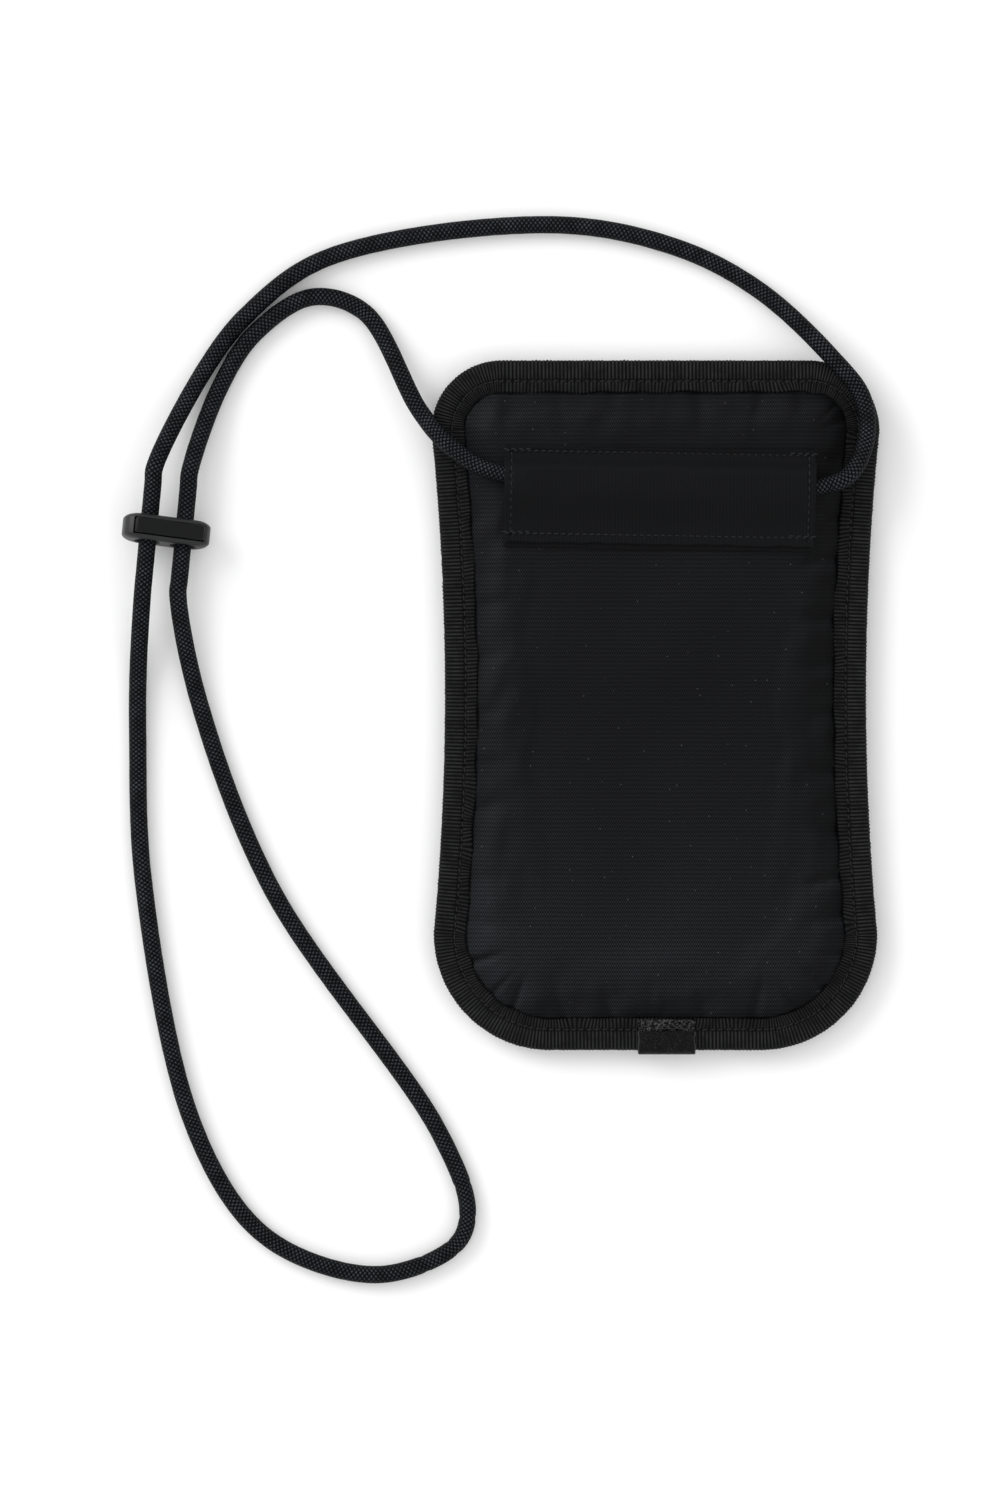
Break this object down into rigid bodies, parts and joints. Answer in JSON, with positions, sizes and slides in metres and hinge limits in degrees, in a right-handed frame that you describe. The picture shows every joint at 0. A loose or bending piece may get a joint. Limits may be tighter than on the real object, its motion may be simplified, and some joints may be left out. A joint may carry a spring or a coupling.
{
  "type": "neck pouch wallet",
  "caption": "Flat zipped fabric neck pouch with grosgrain binding, sewn cord tunnel, long braided neck cord, two-hole cord lock and leather tab.",
  "frame": {"origin": "under the middle of the pouch, on the surface that its zipped front face lies on", "axes": "+Y to the top of the pouch, +X to its right seen from above, +Z out of the back face"},
  "size_m": [0.1962, 0.2762, 0.0176],
  "materials": {
    "twill": "matt black nylon twill with a faint rib",
    "foam": "thin dark foam padding",
    "lining": "thin woven polyester lining",
    "grosgrain": "black ribbed grosgrain tape",
    "zip_tape": "black woven zip tape",
    "zip_coil": "black nylon coil",
    "zip_metal": "black painted die-cast metal",
    "braided_cord": "black braided polyester cord",
    "lock_plastic": "dark grey satin acetal",
    "button_plastic": "dark grey satin acetal with worn edges",
    "spring_steel": "bright spring wire",
    "leather": "glossy black pebbled leather"
  },
  "bodies": {
    "pouch": {"back_panel": "twill", "back_padding": "foam", "back_lining": "lining", "front_lining": "lining", "front_panel_upper": "twill", "front_panel_lower": "twill", "edge_binding": "grosgrain", "zip_tape_upper": "zip_tape", "zip_tape_lower": "zip_tape", "zip_coil_upper": "zip_coil", "zip_coil_lower": "zip_coil", "zip_stop_closed": "zip_metal", "zip_stop_open": "zip_metal", "tunnel_cover": "twill", "tunnel_under_layer": "twill", "neck_cord": "braided_cord", "leather_tab": "leather"},
    "zip_slider": {"zip_slider": "zip_metal"},
    "zip_pull": {"zip_pull": "zip_metal"},
    "cord_lock": {"cord_lock_body": "lock_plastic", "cord_lock_spring": "spring_steel"},
    "lock_button": {"cord_lock_button": "button_plastic"}
  },
  "joints": [
    {"name": "zip_slide", "type": "slide", "parent": "pouch", "child": "zip_slider", "axis": [-1, 0, 0], "range_m": [0, 0.074]},
    {"name": "zip_pull_swing", "type": "hinge", "parent": "zip_slider", "child": "zip_pull", "pos_m": [0.0375, 0.064, 0.00145], "axis": [0, -1, 0], "range_deg": [0, 170]},
    {"name": "lock_slide", "type": "slide", "parent": "pouch", "child": "cord_lock", "axis": [0.0958, 0.9954, 0], "range_m": [-0.008, 0.008]},
    {"name": "button_press", "type": "slide", "parent": "cord_lock", "child": "lock_button", "axis": [-0.2369, -0.1134, -0.9649], "range_m": [0, 0.0012], "stiffness_N_per_m": 150, "springref_m": -0.006, "deforming": ["cord_lock_spring"]}
  ]
}
